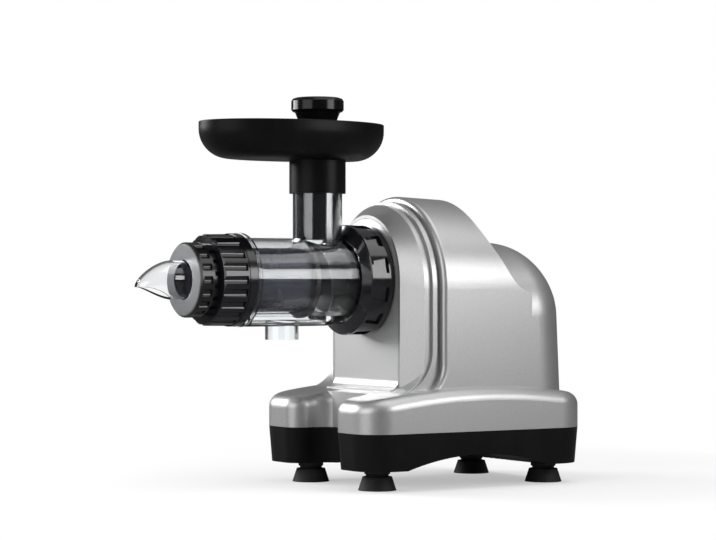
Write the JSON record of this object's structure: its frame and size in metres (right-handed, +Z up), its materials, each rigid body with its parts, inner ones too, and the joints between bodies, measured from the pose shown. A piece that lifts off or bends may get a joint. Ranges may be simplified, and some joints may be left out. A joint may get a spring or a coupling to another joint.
{
  "type": "cold press juicer",
  "caption": "Countertop cold press juicer with a horizontal auger drum, a clear pulp spout, an oval feed tray and a geared motor in an arched silver housing.",
  "frame": {"origin": "on the bench, under the middle of the overall length and width", "axes": "+X from the pulp spout towards the motor, +Y to the far side with the switch, +Z up"},
  "size_m": [0.382, 0.176, 0.32],
  "materials": {
    "silver_housing": "silver metallic lacquer, satin",
    "grey_panel": "silver grey moulding, satin",
    "black_tray": "black moulding, satin",
    "foot_rubber": "dark grey rubber",
    "screw_steel": "zinc plated",
    "black_small": "matte black",
    "seal_rubber": "dark silicone",
    "mount_rubber": "black rubber",
    "clear_drum": "clear moulded plastic, glossy",
    "clear_spout": "clear moulded plastic, glossy",
    "screen_grey": "dark grey, fine satin",
    "screen_black": "black moulding",
    "auger_black": "black moulding, satin",
    "cap_black": "black moulding, semi-gloss",
    "dial_black": "black moulding, semi-gloss",
    "sleeve_black": "black moulding",
    "ring_gloss": "gloss black",
    "seat_black": "black moulding",
    "tray_black": "black moulding, satin",
    "pusher_black": "black moulding, satin",
    "knob_black": "black moulding, satin",
    "shaft_steel": "ground steel",
    "gear_nylon": "natural nylon",
    "gearbox_alloy": "die-cast",
    "bearing_steel": "polished steel",
    "bush_bronze": "sintered bronze",
    "bracket_alloy": "die-cast",
    "lamination_steel": "stacked laminations",
    "winding_copper": "enamelled copper wire",
    "fan_plastic": "black moulding",
    "chassis_steel": "zinc plated sheet",
    "capacitor_can": "pale grey sleeve",
    "switch_black": "black moulding",
    "rocker_black": "black moulding"
  },
  "bodies": {
    "base": {"upper_housing": "silver_housing", "front_panel": "grey_panel", "bottom_tray": "black_tray", "foot_front_left": "foot_rubber", "foot_front_right": "foot_rubber", "foot_rear_left": "foot_rubber", "foot_rear_right": "foot_rubber", "foot_screws": "screw_steel", "housing_screws": "screw_steel", "cord_inlet": "black_small", "drum": "clear_drum", "juicing_screen": "screen_grey", "screen_ring": "screen_black", "screen_front_ring": "screen_black", "drum_seal": "seal_rubber", "drum_seat": "seat_black", "seat_screws": "screw_steel", "gearbox_plate": "gearbox_alloy", "gearbox_case": "gearbox_alloy", "gearbox_screws": "screw_steel", "output_seal": "seal_rubber", "output_bearing_front": "bearing_steel", "output_bearing_rear": "bearing_steel", "idler_bush_front": "bush_bronze", "idler_bush_rear": "bush_bronze", "motor_bracket_front": "bracket_alloy", "motor_bracket_rear": "bracket_alloy", "motor_bearing_front": "bearing_steel", "motor_bearing_rear": "bearing_steel", "motor_stator": "lamination_steel", "motor_windings": "winding_copper", "motor_bolts": "screw_steel", "chassis_plate": "chassis_steel", "motor_mounts": "mount_rubber", "mount_screws": "screw_steel", "run_capacitor": "capacitor_can", "switch_body": "switch_black"},
    "drive": {"auger": "auger_black", "output_shaft": "shaft_steel", "output_gear": "gear_nylon"},
    "idler": {"idler_shaft": "shaft_steel", "idler_wheel": "gear_nylon"},
    "rotor": {"motor_shaft": "shaft_steel", "rotor_core": "lamination_steel", "cooling_fan": "fan_plastic"},
    "lock_ring": {"lock_ring": "ring_gloss"},
    "drum_cap": {"drum_cap": "cap_black"},
    "nozzle_dial": {"nozzle_dial": "dial_black"},
    "pressure_sleeve": {"pressure_sleeve": "sleeve_black"},
    "pulp_spout": {"pulp_spout": "clear_spout"},
    "feed_tray": {"feed_tray": "tray_black"},
    "pusher": {"pusher_shaft": "pusher_black", "pusher_cap": "knob_black"},
    "rocker": {"switch_rocker": "rocker_black"}
  },
  "joints": [
    {"name": "rotor_spin", "type": "hinge", "parent": "base", "child": "rotor", "pos_m": [0.12, 0, 0.112], "axis": [1, 0, 0], "continuous": true},
    {"name": "idler_spin", "type": "hinge", "parent": "base", "child": "idler", "pos_m": [0.07, 0.02487, 0.13803], "axis": [1, 0, 0], "continuous": true},
    {"name": "drive_spin", "type": "hinge", "parent": "base", "child": "drive", "pos_m": [0, 0, 0.17], "axis": [1, 0, 0], "continuous": true},
    {"name": "lock_ring_turn", "type": "hinge", "parent": "base", "child": "lock_ring", "pos_m": [0.008, 0, 0.17], "axis": [1, 0, 0], "range_deg": [0, 35]},
    {"name": "cap_turn", "type": "hinge", "parent": "base", "child": "drum_cap", "pos_m": [-0.12, 0, 0.17], "axis": [1, 0, 0], "range_deg": [0, 35]},
    {"name": "dial_turn", "type": "hinge", "parent": "drum_cap", "child": "nozzle_dial", "pos_m": [-0.14, 0, 0.17], "axis": [1, 0, 0], "range_deg": [0, 120]},
    {"name": "sleeve_slide", "type": "slide", "parent": "drum_cap", "child": "pressure_sleeve", "axis": [1, 0, 0], "range_m": [0, 0.0018]},
    {"name": "spout_turn", "type": "hinge", "parent": "drum_cap", "child": "pulp_spout", "pos_m": [-0.16, 0, 0.17], "axis": [1, 0, 0], "range_deg": [-90, 90]},
    {"name": "tray_lift", "type": "slide", "parent": "base", "child": "feed_tray", "axis": [0, 0, 1], "range_m": [0, 0.06]},
    {"name": "pusher_lift", "type": "slide", "parent": "feed_tray", "child": "pusher", "axis": [0, 0, 1], "range_m": [0, 0.12]},
    {"name": "rocker_tilt", "type": "hinge", "parent": "base", "child": "rocker", "pos_m": [0.128, 0.0765, 0.112], "axis": [1, 0, 0], "range_deg": [-9, 9]}
  ],
  "couplings": [
    {"joint": "idler_spin", "follows": "rotor_spin", "ratio": -0.2},
    {"joint": "drive_spin", "follows": "rotor_spin", "ratio": 0.057143},
    {"joint": "sleeve_slide", "follows": "dial_turn", "m_per_rad": 0.000764}
  ]
}
